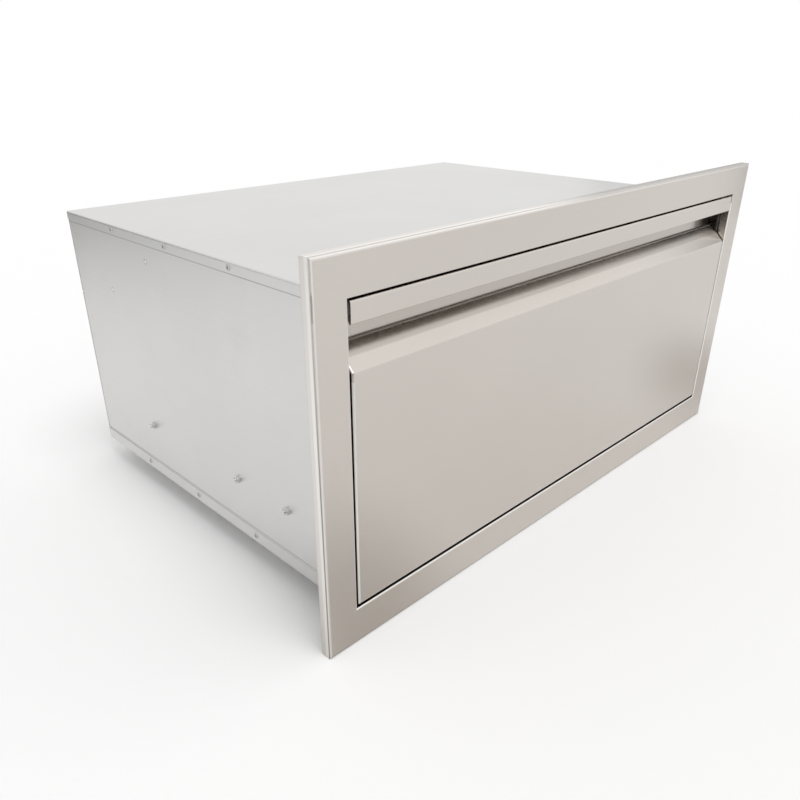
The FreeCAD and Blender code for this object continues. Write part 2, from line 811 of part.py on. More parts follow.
def all_pieces():
    """Every piece of the unit by node name."""
    pieces = {
        "trim_frame": trim_frame(),
        "casing_top_cover": casing_cover(),
        "casing_bottom_pan": casing_pan(),
        "casing_back_panel": casing_back(),
        "casing_rivets": casing_rivets(),
        "rear_bumpers": bumpers(),
        "drawer_front_panel": front_panel(),
        "handle_channel": handle_channel(),
        "drawer_front_liner": front_liner(),
        "tub_floor": tub_floor(),
        "tub_front_wall": tub_front(),
        "tub_back_wall": tub_end(tub_back, -1),
        "front_screws": front_screws(),
    }
    for name, right in (("casing_side", casing_side()), ("slide_nuts", slide_nuts()),
                        ("slide_screws", slide_screws()), ("tub_side_wall", tub_side())):
        pieces[name + "_right"] = right
        pieces[name + "_left"] = mirrored(right)
    for name, left in slide_pieces().items():
        pieces[name + "_left"] = left
        pieces[name + "_right"] = turned_over(left)
    return pieces


os.makedirs("parts", exist_ok=True)
for name, shape in all_pieces().items():
    shape.exportStep("parts/" + name + ".step")
    print(name, len(shape.Solids), round(shape.Volume, 1), shape.isValid())
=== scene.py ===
"""Built-in drawer unit for an outdoor kitchen: finishes, fine hardware, studio light and camera.

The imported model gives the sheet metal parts. This script dresses them with node-based finishes,
puts turned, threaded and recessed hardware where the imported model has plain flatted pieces, and
sets up the studio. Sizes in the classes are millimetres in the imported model's frame: X right,
Y back, Z up.
"""
import logging
import math
from dataclasses import dataclass, field
from enum import Enum
from functools import cache, partial
from typing import Any, Callable, Iterable, Union

import bpy
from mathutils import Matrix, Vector


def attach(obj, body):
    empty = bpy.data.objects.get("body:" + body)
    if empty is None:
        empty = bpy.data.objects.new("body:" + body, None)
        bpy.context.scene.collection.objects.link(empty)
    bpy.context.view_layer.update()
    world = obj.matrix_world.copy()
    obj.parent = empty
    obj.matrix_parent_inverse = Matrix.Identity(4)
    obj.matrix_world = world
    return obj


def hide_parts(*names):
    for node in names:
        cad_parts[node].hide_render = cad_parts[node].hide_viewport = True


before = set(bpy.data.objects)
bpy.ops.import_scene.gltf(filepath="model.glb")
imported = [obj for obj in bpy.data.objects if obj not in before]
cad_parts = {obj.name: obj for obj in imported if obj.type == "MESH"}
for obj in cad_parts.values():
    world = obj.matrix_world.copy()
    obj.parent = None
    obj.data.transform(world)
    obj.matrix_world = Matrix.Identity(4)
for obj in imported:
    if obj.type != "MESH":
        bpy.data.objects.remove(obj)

MM = 0.001
LOG = logging.getLogger("drawer_unit")

Pair = tuple[float, float]
Place = tuple[float, float, float]
Colour = tuple[float, float, float]
Values = tuple[float, ...]
Profile = tuple[Pair, ...]
Ring = Callable[[float], Pair]
Material = bpy.types.Material

SLOPE_NORMAL = math.sqrt(0.5)
FLOOR_LEVEL = -28.3
CREASE_DEGREES = 32.0


class Slot(Enum):
    """The record's materials for the finer pieces."""

    ZINC = "zinc_plated_steel"
    BALLS = "ball_steel"
    PLASTIC = "black_plastic"
    RUBBER = "black_rubber"


class Ray(Enum):
    """The kinds of light path."""

    CAMERA = "Is Camera Ray"
    DIFFUSE = "Is Diffuse Ray"
    GLOSSY = "Is Glossy Ray"
    THROUGH = "Is Transmission Ray"


class Signal:
    """A number output of a node. Arithmetic on it adds Math nodes."""

    def __init__(self, recipe: "Recipe", socket: bpy.types.NodeSocket) -> None:
        """Keeps the socket and the recipe it belongs to."""
        self.recipe = recipe
        self.socket = socket

    def _math(self, operation: str, first: "Number", second: "Number" = 0.0) -> "Signal":
        """Returns the result of a Math node."""
        return self.recipe.add("ShaderNodeMath", {"operation": operation}, {0: first, 1: second})

    def __add__(self, other: "Number") -> "Signal":
        """Returns the sum."""
        return self._math("ADD", self, other)

    def __radd__(self, other: "Number") -> "Signal":
        """Returns the sum with the other value first."""
        return self._math("ADD", other, self)

    def __sub__(self, other: "Number") -> "Signal":
        """Returns the difference."""
        return self._math("SUBTRACT", self, other)

    def __rsub__(self, other: "Number") -> "Signal":
        """Returns the difference with the other value first."""
        return self._math("SUBTRACT", other, self)

    def __mul__(self, other: "Number") -> "Signal":
        """Returns the product."""
        return self._math("MULTIPLY", self, other)

    def __pow__(self, other: "Number") -> "Signal":
        """Returns the power."""
        return self._math("POWER", self, other)

    def size(self) -> "Signal":
        """Returns the absolute value."""
        return self._math("ABSOLUTE", self)

    def larger(self, other: "Number") -> "Signal":
        """Returns the larger of the two values."""
        return self._math("MAXIMUM", self, other)

    def step(self, start: float, end: float) -> "Signal":
        """Returns a mask that eases from 0 at the start to 1 at the end, which may be below it."""
        low, high, first, last = (start, end, 0.0, 1.0) if start < end else (end, start, 1.0, 0.0)
        return self.recipe.add("ShaderNodeMapRange", {"interpolation_type": "SMOOTHSTEP"},
                               {"Value": self, "From Min": low, "From Max": high, "To Min": first,
                                "To Max": last})


Number = Union[float, Signal]
Shade = Union[Colour, Signal]


class Recipe:
    """The node tree of a material or of the world."""

    def __init__(self, owner: Union[Material, bpy.types.World]) -> None:
        """Empties the owner's node tree.

        Args:
            owner: the material or the world.
        """
        owner.use_nodes = True
        self.owner = owner
        self.tree = owner.node_tree
        self.tree.nodes.clear()

    @classmethod
    def of(cls, name: str) -> "Recipe":
        """Returns the recipe of a new material."""
        return cls(bpy.data.materials.new(name))

    def add(self, kind: str, settings: dict[str, Any], inputs: dict[Union[str, int], Any],
            output: Union[str, int] = 0) -> Signal:
        """Adds any node.

        Args:
            kind: the node's type.
            settings: its properties, set before its sockets.
            inputs: values or signals by socket identifier, name or number.
            output: which output to return.

        Returns:
            The wanted output.
        """
        node = self.tree.nodes.new(kind)
        for name, value in settings.items():
            setattr(node, name, value)
        for key, value in inputs.items():
            socket = self._socket(node.inputs, key)
            if isinstance(value, Signal):
                self.tree.links.new(value.socket, socket)
            elif isinstance(value, tuple) and len(value) == 3 and socket.type == "RGBA":
                socket.default_value = (*value, 1.0)
            else:
                socket.default_value = value
        return Signal(self, self._socket(node.outputs, output))

    @staticmethod
    def _socket(sockets: Any, key: Union[str, int]) -> bpy.types.NodeSocket:
        """Returns the socket with this identifier, or else with this name or number."""
        found = next((socket for socket in sockets if socket.identifier == key), None)
        return found or sockets[key]

    def place(self, stretch: Union[float, Place]) -> Signal:
        """Gives the point on the piece in metres, stretched.

        Args:
            stretch: the factor, or one for each axis.

        Returns:
            A vector for a texture.
        """
        factors = (stretch,) * 3 if isinstance(stretch, float) else stretch
        point = self.add("ShaderNodeTexCoord", {}, {}, "Object")
        return self.add("ShaderNodeVectorMath", {"operation": "MULTIPLY"}, {0: point, 1: factors})

    def axes(self) -> tuple[Signal, Signal, Signal]:
        """Returns the point's X, Y and Z in millimetres."""
        return self._split(self.place(1.0 / MM))

    def facing(self) -> tuple[Signal, Signal, Signal]:
        """Returns the surface normal's X, Y and Z."""
        return self._split(self.add("ShaderNodeNewGeometry", {}, {}, "Normal"))

    def ray(self, kind: Ray) -> Signal:
        """Returns 1 for rays of a kind, 0 for others."""
        return self.add("ShaderNodeLightPath", {}, {}, kind.value)

    def _split(self, vector: Signal) -> tuple[Signal, Signal, Signal]:
        """Returns a vector's three coordinates."""
        outputs = self.add("ShaderNodeSeparateXYZ", {}, {0: vector}).socket.node.outputs
        return Signal(self, outputs[0]), Signal(self, outputs[1]), Signal(self, outputs[2])

    def noise(self, stretch: Union[float, Place], detail: float = 3.0,
              roughness: float = 0.5) -> Signal:
        """Returns noise around 0.5, stretched by lumps per metre, with detail in octaves."""
        return self.add("ShaderNodeTexNoise", {}, {"Vector": self.place(stretch), "Scale": 1.0,
                                                   "Detail": detail, "Roughness": roughness})

    def mix(self, factor: Number, first: Shade, second: Shade) -> Signal:
        """Returns the mix of two colours, 0 for the first and 1 for the second."""
        sockets = {"Factor_Float": factor, "A_Color": first, "B_Color": second}
        return self.add("ShaderNodeMix", {"data_type": "RGBA"}, sockets, "Result_Color")

    def either(self, factor: Number, first: Signal, second: Signal) -> Signal:
        """Returns the mix of two shaders, 0 for the first and 1 for the second."""
        return self.add("ShaderNodeMixShader", {}, {0: factor, 1: first, 2: second})

    def diffuse(self, colour: Shade) -> Signal:
        """Returns a diffuse shader of a colour."""
        return self.add("ShaderNodeBsdfDiffuse", {}, {"Color": colour})

    def bump(self, height: Signal, strength: float, depth: float) -> Signal:
        """Returns the normal for heights from 0 to 1 with a depth in millimetres."""
        return self.add("ShaderNodeBump", {}, {"Height": height, "Strength": strength,
                                               "Distance": depth * MM})

    def finish(self, **inputs: Any) -> Material:
        """Ends the tree with a Principled surface.

        Args:
            inputs: its values or signals, with _ for the spaces in the names.

        Returns:
            The finished material.
        """
        named = {name.replace("_", " "): value for name, value in inputs.items()}
        self.close(self.add("ShaderNodeBsdfPrincipled", {}, named))
        return self.owner

    def close(self, shader: Signal, kind: str = "ShaderNodeOutputMaterial") -> None:
        """Connects a shader to an output node of the given type."""
        node = self.tree.nodes.new(kind)
        self.tree.links.new(shader.socket, node.inputs["Surface"])


@dataclass(frozen=True)
class Finish:
    """A surface finish, whose class says how it looks."""

    name: str

    def material(self) -> Material:
        """Builds the material, which each finish does its own way."""
        raise NotImplementedError


@cache
def made(finish: Finish) -> Material:
    """Returns the finish's material, which is built once."""
    return finish.material()


class Way(Enum):
    """The direction that a sheet's grain or rolling lines follow."""

    ACROSS = (1.0, 0.0, 0.0)
    DEEP = (0.0, 1.0, 0.0)
    UP = (0.0, 0.0, 1.0)

    def stretched(self, along: float, crosswise: float) -> Place:
        """Returns the stretch for lumps per metre along the grain and across it."""
        x, y, z = (along if part else crosswise for part in self.value)
        return (x, y, z)


@dataclass(frozen=True)
class PaintedBendLight:
    """Where a brushed sheet's bends, returns and outer edges get painted highlights, and where the
    frame's outer bends get painted dark reflection lines.
    """

    bends: float = 0.0
    returns: float = 0.0
    edges: float = 0.0
    folds: float = 0.0
    face_half: float = 379.0
    face_top: float = 346.1
    face_foot: float = 26.3
    rim_half: float = 372.0
    rim_levels: Pair = (-20.0, 340.0)
    rim_depths: Pair = (-3.0, -8.5)
    no_highlight_levels: Pair = (300.0, 320.0)
    dark_top_across: Pair = (-130.0, 20.0)
    line_fade_levels: Pair = (120.0, 320.0)
    line_fade_share: float = 0.45
    slope_leaning: Pair = (0.12, 0.03)
    bend_leaning: Pair = (0.998, 0.96)
    fold_leaning: Pair = (0.998, 0.95)
    thin_near: Pair = (0.03, 0.16)
    thin_far: Pair = (0.8, 0.55)
    turned: Pair = (0.08, 0.2)

    def mask(self, recipe: Recipe) -> Signal:
        """Gives the painted highlight on bends, side returns and outer edges.

        Args:
            recipe: the tree that gets the nodes.

        Returns:
            The mask, 0 on flat faces.
        """
        across, depth, rise = recipe.facing()
        squareness = across.size().larger(depth.size()).larger(rise.size())
        off_slope = (depth + SLOPE_NORMAL).size() + (rise - SLOPE_NORMAL).size()
        sloped = off_slope.step(*self.slope_leaning)
        bend = squareness.step(*self.bend_leaning) * (1.0 - sloped)
        x, y, z = recipe.axes()
        low, high = self.no_highlight_levels
        no_highlight = (z - (low + high) / 2).size().step((high - low) / 2 + 1.0, (high - low) / 2)
        below, above = self.rim_levels
        rim = (x.size() - self.rim_half).larger(below - z).larger(z - above).step(-1.0, 1.0)
        side = depth.size().step(0.9, 0.3) * rim * y.step(*self.rim_depths)
        edge = (x.size() - self.face_half).larger(z - self.face_top).step(-1.4, -0.2)
        # Painted highlight: bright colour on the bends outside the no-highlight band, on the front
        # of the side returns and on the outer edges.
        highlit = (bend * (1.0 - no_highlight) * self.bends).larger(side * self.returns)
        return highlit.larger(edge * self.edges)

    def fold(self, recipe: Recipe) -> Signal:
        """Gives the painted dark reflection line along the frame's outer bends.

        Args:
            recipe: the tree that gets the nodes.

        Returns:
            The mask, thin at the left and top and as wide as the bend at the right and below.
        """
        across, depth, rise = recipe.facing()
        x, _, z = recipe.axes()
        dark_top = rise.step(*self.turned) * x.step(*self.dark_top_across)
        beyond = (x.size() - self.face_half).larger(z - self.face_top)
        outer = beyond.larger(-self.face_foot - z).step(-1.5, -0.5)
        lean = depth.size()
        thin = lean.step(*self.thin_near) * lean.step(*self.thin_far)
        whole = lean.step(*self.fold_leaning)
        below = rise.step(-self.turned[0], -self.turned[1])
        far = across.step(*self.turned).larger(below).larger(dark_top)
        faint = 1.0 - z.step(*self.line_fade_levels) * self.line_fade_share
        # Painted dark reflection line, fading towards the top.
        return outer * (thin * (1.0 - far)).larger(whole * far) * faint * self.folds


@dataclass(frozen=True)
class BrushedStainless(Finish):
    """Stainless sheet with a fine ground grain, wiped, with painted highlights and painted dark
    lines on its bends and painted shade in gaps and the handle pocket.
    """

    bend_light: PaintedBendLight
    way: Way = Way.ACROSS
    light: Colour = (0.632, 0.591, 0.55)
    dark: Colour = (0.56, 0.522, 0.483)
    # Colour of the painted highlights on bends, returns and edges.
    painted_highlight: Colour = (0.9, 0.875, 0.845)
    # Colour of the painted dark reflection line along the frame's outer bends.
    dull_and_painted_dark: Colour = (0.2, 0.185, 0.165)
    # Colour of the painted shade at the ends of the handle pocket.
    painted_pocket_shade: Colour = (0.07, 0.065, 0.06)
    # Colour of the painted shade on faces that lie deeper than the given depths.
    grease_film_and_painted_shade: Colour = (0.4, 0.37, 0.335)
    painted_shade_depths: Pair = (-3.2, -1.4)
    painted_shade_share: float = 0.6
    pocket_level: float = 400.0
    pocket_ends: Pair = (304.0, 316.0)
    pocket_depths: Pair = (-11.9, -11.5)
    turned: Pair = (0.3, 0.6)
    roughness: float = 0.22

    def material(self) -> Material:
        """Builds the material.

        Returns:
            The material.
        """
        recipe = Recipe.of(self.name)
        fine = recipe.noise(self.way.stretched(9.0, 2600.0), 4.0, 0.62)
        coarse = recipe.noise(self.way.stretched(3.5, 640.0), 2.0, 0.55)
        wiped = recipe.noise((5.0, 5.0, 8.0))
        grain = fine * 0.6 + coarse * 0.4
        tone = (grain - 0.5) * 0.75 + (wiped - 0.5) * 0.55 + 0.5
        colour = recipe.mix(tone, self.dark, self.light)
        across, depth, rise = recipe.axes()
        # Painted shade on faces deeper than the given depths.
        colour = recipe.mix(depth.step(*self.painted_shade_depths) * self.painted_shade_share, colour, self.grease_film_and_painted_shade)
        _, outward, upward = recipe.facing()
        start, end = self.turned
        back = outward.step(-start, -end) * depth.step(0.0, 5.0)
        front = outward.step(start, end) * depth.step(0.0, -5.0)
        inside = back.larger(upward.step(-start, -end)).larger(front)
        # Painted shade on the inner faces at the ends of the handle pocket.
        pocket = rise.step(self.pocket_level, self.pocket_level + 3.0)
        pocket = pocket * depth.step(*self.pocket_depths) * inside
        pocket = pocket * across.size().step(*self.pocket_ends)
        colour = recipe.mix(pocket, colour, self.painted_pocket_shade)
        # Painted highlights on bends, returns and edges.
        painted_highlight = self.bend_light.mask(recipe)
        colour = recipe.mix(painted_highlight, colour, self.painted_highlight)
        # Painted dark reflection line along the frame's outer bends.
        if self.bend_light.folds:
            colour = recipe.mix(self.bend_light.fold(recipe), colour, self.dull_and_painted_dark)
        smear = recipe.noise((11.0, 11.0, 15.0), 4.0, 0.6).step(0.52, 0.7)
        rough = self.roughness + (grain - 0.5) * 0.1 + smear * 0.03 + painted_highlight * 0.22
        normal = recipe.bump(grain, 0.15, 0.02)
        return recipe.finish(Base_Color=colour, Metallic=1.0, Roughness=rough, Normal=normal,
                             Anisotropic=0.62, Anisotropic_Rotation=0.25)


@dataclass(frozen=True)
class GalvanisedSheet(Finish):
    """Zinc-coated sheet: mottling, rolling lines, painted shade inside the mouth, grimy seams and
    knocks.
    """

    way: Way = Way.DEEP
    light: Colour = (0.745, 0.74, 0.73)
    dark: Colour = (0.655, 0.65, 0.64)
    # Colour of the painted shade on the inner and front-facing faces near the mouth.
    mouth: Colour = (0.09, 0.08, 0.07)
    mouth_reach: float = 18.0
    mouth_roughness: float = 0.18
    grime: Colour = (0.4, 0.39, 0.375)
    seams: Pair = (297.9, 18.5)
    seam_fade: Pair = (0.75, 0.2)
    marks: Profile = ()
    mark_side: Pair = (-330.0, -320.0)
    mark_rim: Colour = (0.45, 0.44, 0.42)
    mark_spot: Colour = (0.95, 0.945, 0.93)
    roughness: float = 0.44

    def material(self) -> Material:
        """Builds the material.

        Returns:
            The material.
        """
        recipe = Recipe.of(self.name)
        crystal = recipe.add("ShaderNodeTexVoronoi", {"feature": "SMOOTH_F1"},
                             {"Vector": recipe.place(130.0), "Scale": 1.0, "Smoothness": 0.6})
        rolled = recipe.noise(self.way.stretched(2.0, 420.0), 3.0, 0.55)
        cloud = recipe.noise(6.0, 4.0, 0.55)
        tone = (crystal - 0.5) * 0.16 + (rolled - 0.5) * 0.3 + (cloud - 0.5) * 0.7 + 0.5
        colour = recipe.mix(tone, self.dark, self.light)
        # Dull patches that raise the roughness.
        dull_and_painted_dark = recipe.noise(17.0, 5.0, 0.62).step(0.56, 0.74)
        x, y, z = recipe.axes()
        across, depth, _ = recipe.facing()
        inward = (across * x).step(-60.0, -200.0).larger(depth.step(-0.2, -0.6))
        # Painted shade on faces that face inward or to the front, within the mouth's reach.
        mouth = inward * y.step(self.mouth_reach, self.mouth_reach - 4.0)
        colour = recipe.mix(mouth, colour, self.mouth)
        above, below = ((z - seam).size().step(*self.seam_fade) for seam in self.seams)
        colour = recipe.mix(above.larger(below) * (cloud + 0.35), colour, self.grime)
        rough = self.roughness + (crystal - 0.5) * 0.07 + dull_and_painted_dark * 0.07
        rough = rough - mouth * (self.roughness - self.mouth_roughness)
        relief = rolled * 0.5 + cloud * 0.5
        for mark_y, mark_z in self.marks:
            away = ((y - mark_y) ** 2.0 + (z - mark_z) ** 2.0) ** 0.5
            away = away + x.step(*self.mark_side) * 50.0
            colour = recipe.mix(away.step(4.2, 2.6) * 0.5, colour, self.mark_rim)
            colour = recipe.mix(away.step(2.2, 0.8), colour, self.mark_spot)
            relief = relief + away.step(3.6, 0.4) * 4.0
        normal = recipe.bump(relief, 0.16, 0.05)
        return recipe.finish(Base_Color=colour, Metallic=1.0, Roughness=rough, Normal=normal)


@dataclass(frozen=True)
class MillStainless(Finish):
    """Cold-rolled stainless sheet, smooth and grey, with scuffs where things slide on it."""

    way: Way = Way.DEEP
    light: Colour = (0.62, 0.605, 0.585)
    dark: Colour = (0.54, 0.525, 0.505)
    roughness: float = 0.27

    def material(self) -> Material:
        """Builds the material.

        Returns:
            The material.
        """
        recipe = Recipe.of(self.name)
        rolled = recipe.noise(self.way.stretched(4.0, 900.0), 3.0, 0.6)
        cloud = recipe.noise(8.0)
        scuffs = recipe.noise(self.way.stretched(14.0, 260.0), 5.0, 0.7).step(0.62, 0.74)
        colour = recipe.mix((rolled - 0.5) * 0.5 + (cloud - 0.5) * 0.6 + 0.5, self.dark, self.light)
        rough = self.roughness + scuffs * 0.1 + (cloud - 0.5) * 0.1
        normal = recipe.bump(rolled * 0.7 + scuffs * 0.3, 0.12, 0.02)
        return recipe.finish(Base_Color=colour, Metallic=1.0, Roughness=rough, Normal=normal)


@dataclass(frozen=True)
class TwoTone(Finish):
    """Two tones in soft patches over a fine grit. Without other values it is bright zinc."""

    first: Colour = (0.64, 0.65, 0.66)
    second: Colour = (0.7, 0.685, 0.64)
    patches: Values = (160.0, 3.0, 0.5)
    fade: Pair = (0.4, 0.66)
    grit: Values = (1400.0, 2.0, 0.5)
    roughness: float = 0.22
    spread: float = 0.2
    relief: Pair = (0.12, 0.03)
    metallic: float = 1.0

    def material(self) -> Material:
        """Builds the material.

        Returns:
            The material.
        """
        recipe = Recipe.of(self.name)
        patches = recipe.noise(*self.patches).step(*self.fade)
        grit = recipe.noise(*self.grit)
        return recipe.finish(Base_Color=recipe.mix(patches, self.first, self.second),
                             Metallic=self.metallic, Normal=recipe.bump(grit, *self.relief),
                             Roughness=self.roughness + (grit - 0.5) * self.spread)


SCREW_ZINC = TwoTone("screw_zinc")
CAGE_ZINC = TwoTone("cage_zinc")
RIVET_ZINC = TwoTone("rivet_zinc", (0.5, 0.51, 0.52), (0.56, 0.54, 0.5), roughness=0.36)
BROKEN_STEEL = TwoTone("mandrel_steel", (0.22, 0.22, 0.22), (0.3, 0.28, 0.25), roughness=0.45)
LEVER_PLASTIC = TwoTone("lever_plastic", (0.018, 0.018, 0.019), (0.04, 0.04, 0.042),
                        patches=(60.0, 3.0, 0.5), fade=(0.35, 0.75), grit=(2600.0, 2.0, 0.5),
                        roughness=0.5, spread=0.25, relief=(0.3, 0.05), metallic=0.0)
BUMPER_RUBBER = TwoTone("bumper_rubber", (0.016, 0.016, 0.017), (0.075, 0.073, 0.07),
                        patches=(240.0, 5.0, 0.65), fade=(0.42, 0.78), grit=(240.0, 5.0, 0.65),
                        roughness=0.72, spread=0.3, relief=(0.25, 0.08), metallic=0.0)


@dataclass(frozen=True)
class SlideSteel(Finish):
    """Rolled and plated slide steel, drawn lengthways, with grease near the ball races."""

    race_levels: Pair = (54.0, 86.4)
    race_fade: Pair = (5.5, 1.5)
    light: Colour = (0.66, 0.665, 0.66)
    dark: Colour = (0.52, 0.525, 0.53)
    grease: Colour = (0.42, 0.4, 0.33)
    roughness: float = 0.3

    def material(self) -> Material:
        """Builds the material.

        Returns:
            The material.
        """
        recipe = Recipe.of(self.name)
        _, _, rise = recipe.axes()
        drawn = recipe.noise(Way.DEEP.stretched(5.0, 1500.0), 3.0, 0.6)
        cloud = recipe.noise((30.0, 9.0, 30.0), 4.0, 0.6)
        low, high = ((rise - race).size().step(*self.race_fade) for race in self.race_levels)
        grease_film_and_painted_shade = low.larger(high) * cloud.step(0.42, 0.6)
        metal = recipe.mix((drawn - 0.5) * 0.8 + (cloud - 0.5) * 0.5 + 0.5, self.dark, self.light)
        colour = recipe.mix(grease_film_and_painted_shade * 0.55, metal, self.grease)
        rough = self.roughness + (drawn - 0.5) * 0.14 - grease_film_and_painted_shade * 0.1
        normal = recipe.bump(drawn * 0.6 + grease_film_and_painted_shade * 0.4, 0.15, 0.03)
        return recipe.finish(Base_Color=colour, Metallic=1.0, Roughness=rough, Normal=normal)


@dataclass(frozen=True)
class BallSteel(Finish):
    """Hardened and polished balls with a thin smear of grease."""

    bright: Colour = (0.72, 0.72, 0.73)
    smeared: Colour = (0.5, 0.48, 0.42)

    def material(self) -> Material:
        """Builds the material.

        Returns:
            The material.
        """
        recipe = Recipe.of(self.name)
        smear = recipe.noise(420.0, 3.0, 0.55).step(0.5, 0.68)
        colour = recipe.mix(smear, self.bright, self.smeared)
        return recipe.finish(Base_Color=colour, Metallic=1.0, Roughness=0.08 + smear * 0.18)


@dataclass
class Blank:
    """Vertices and faces of a piece, in millimetres, that grow as forms are added."""

    points: list[Vector] = field(default_factory=list)
    faces: list[tuple[int, ...]] = field(default_factory=list)
    finishes: list[int] = field(default_factory=list)

    def _skin(self, first: int, count: int, finish: int = 0) -> None:
        """Joins the newest rows of points by faces, with one more face over each end.

        Args:
            first: the first row's first point.
            count: points in a row.
            finish: the number of the faces' finish.
        """
        last = len(self.points) - count
        for near in range(first, last, count):
            for step in range(count):
                after = (step + 1) % count
                self.faces.append((near + step, near + after, near + count + after,
                                   near + count + step))
        self.faces.append(tuple(reversed(range(first, first + count))))
        self.faces.append(tuple(range(last, last + count)))
        self.finishes += [finish] * (len(self.faces) - len(self.finishes))

    def turned(self, place: Place, toward: Place, rings: Iterable[Ring], segments: int = 36,
               finish: int = 0) -> None:
        """Adds a form of rings round an axis, closed at both ends.

        Args:
            place: the axis's start.
            toward: its direction.
            rings: from first to last, each giving radius and height for an angle.
            segments: points in a ring.
            finish: the number of its finish.
        """
        axis = Vector(toward).normalized()
        side = Vector((axis.z, axis.x, axis.y))
        side = (side - axis * side.dot(axis)).normalized()
        other = axis.cross(side)
        first = len(self.points)
        for ring in rings:
            for step in range(segments):
                angle = 2 * math.pi * step / segments
                radius, height = ring(angle)
                spoke = side * math.cos(angle) + other * math.sin(angle)
                self.points.append(Vector(place) + spoke * radius + axis * height)
        self._skin(first, segments, finish)

    def prism(self, outline: list[Pair], across: Pair, bevel: float) -> None:
        """Adds a plate drawn in the Y-Z plane, with bevelled rims.

        Args:
            outline: its corners as (y, z), anticlockwise seen along +X.
            across: its X range.
            bevel: the bevel's width.
        """
        low, high = across
        first = len(self.points)
        corners = [Vector(corner) for corner in outline]
        count = len(corners)
        for place, inset in ((low, bevel), (low + bevel, 0.0), (high - bevel, 0.0), (high, bevel)):
            for step, corner in enumerate(corners):
                along = (corners[(step + 1) % count] - corners[step - 1]).normalized()
                flat = corner + Vector((-along.y, along.x)) * inset
                self.points.append(Vector((place, flat.x, flat.y)))
        self._skin(first, count)


def linked(name: str, data: Any) -> bpy.types.Object:
    """Makes an object and links it to the scene.

    Args:
        name: the object's name.
        data: its mesh, lamp or camera.

    Returns:
        The object.
    """
    thing = bpy.data.objects.new(name, data)
    bpy.context.scene.collection.objects.link(thing)
    return thing


def level(radius: float, height: float) -> Ring:
    """Returns a plain round ring."""
    return lambda angle: (radius, height)


def levels(profile: Iterable[Pair]) -> list[Ring]:
    """Returns the plain round rings of a profile of radii and heights."""
    return [level(radius, height) for radius, height in profile]


def hexagon(width: float, height: float, limit: float, angle: float) -> Pair:
    """Returns radius and height at an angle of a hexagon with corners cut back to a limit."""
    turn = (angle + math.pi / 6) % (math.pi / 3) - math.pi / 6
    return min(width / 2 / math.cos(turn), limit), height


@dataclass(frozen=True)
class Thread:
    """A screw thread: its radius over the crests, rise in a turn, and crest to root."""

    radius: float
    pitch: float
    depth: float
    steps: int = 6
    run_out: float = 0.4

    def rings(self, length: float, start: float = 0.0) -> list[Ring]:
        """Gives the thread's rings.

        Args:
            length: the thread's length.
            start: the height where it begins.

        Returns:
            The rings, from its start.
        """
        count = max(2, round(length / self.pitch * self.steps))
        heights = [start + length * step / count for step in range(count)]
        rings = [partial(self._point, height, 0.0) for height in heights]
        return rings + [partial(self._point, start + length, self.depth * self.run_out)]

    def _point(self, height: float, taper: float, angle: float) -> Pair:
        """Returns radius and height at an angle, where the radius is less by the taper."""
        phase = (height / self.pitch - angle / (2 * math.pi)) % 1.0
        return self.radius - taper - self.depth * abs(2 * phase - 1), height


@dataclass(frozen=True)
class CrossRecess:
    """The cross-shaped recess in a screw's head."""

    depth: float
    arm_half: float
    reach: float

    def ring(self, radius: float, height: float) -> Ring:
        """Gives a ring of the head's top.

        Args:
            radius: the ring's radius.
            height: the head's height at this radius.

        Returns:
            The ring.
        """
        def ring(angle: float) -> Pair:
            """Gives radius and height at an angle."""
            x, y = abs(radius * math.cos(angle)), abs(radius * math.sin(angle))
            half, reach = self.arm_half, self.reach
            inside = max(0.0, min(1.0, (half - min(x, y)) / (0.35 * half)))
            inside *= max(0.0, min(1.0, (reach - max(x, y)) / (0.3 * reach)))
            return radius, height - self.depth * inside
        return ring


@dataclass(frozen=True)
class PanScrew:
    """A pan head screw with a cross recess."""

    grip: float
    tip: float = 1.5
    radius: float = 3.6
    rise: float = 1.6
    dome: float = 0.25
    thread: Thread = Thread(2.0, 0.7, 0.35)
    recess: CrossRecess = CrossRecess(0.9, 0.45, 1.9)
    rim: Profile = ((1.0, 0.0), (1.0, 0.35), (0.93, 0.72))
    shares: Values = (0.78, 0.66, 0.55, 0.45, 0.35, 0.26, 0.17, 0.09)

    def rings(self) -> list[Ring]:
        """Gives the rings from the tip to the head, whose underside is at 0.

        Returns:
            The rings.
        """
        radius, rise, length = self.radius, self.rise, self.grip + self.tip
        rings = self.thread.rings(length, -length)
        rings += levels((radius * across, rise * up) for across, up in self.rim)
        return rings + [self.recess.ring(radius * share, rise * (1.0 - self.dome * share ** 2))
                        for share in self.shares]


@dataclass(frozen=True)
class BlindRivet:
    """A blind rivet: domed head, hollow and the broken end of its mandrel."""

    radius: float = 3.2
    rise: float = 1.1
    mandrel: float = 1.25
    shank: Profile = ((1.6, -2.0), (1.6, 0.0))
    hollow: Profile = ((1.05, 0.93), (1.0, 0.35), (0.8, 0.3))
    stub: Profile = ((0.98, 0.2), (0.98, 0.62), (0.8, 0.74), (0.3, 0.6))
    edge: float = 0.22
    dome_steps: int = 5

    def add(self, blank: Blank, place: Place, toward: Place) -> None:
        """Adds the rivet to a shape.

        Args:
            blank: the shape.
            place: where the head's underside stands.
            toward: the direction it faces.
        """
        radius, rise, mandrel, edge = self.radius, self.rise, self.mandrel, self.edge
        profile = [*self.shank, (radius * 0.97, 0.0), (radius, rise * edge)]
        for step in range(1, self.dome_steps + 1):
            share = step / self.dome_steps
            profile.append((radius - (radius - mandrel * 1.25) * share,
                            rise * (edge + (1.0 - edge) * math.sin(share * math.pi / 2))))
        profile += [(mandrel * across, rise * up) for across, up in self.hollow]
        blank.turned(place, toward, levels(profile), 28)
        stub = levels((mandrel * across, rise * up) for across, up in self.stub)
        blank.turned(place, toward, stub, 20, 1)


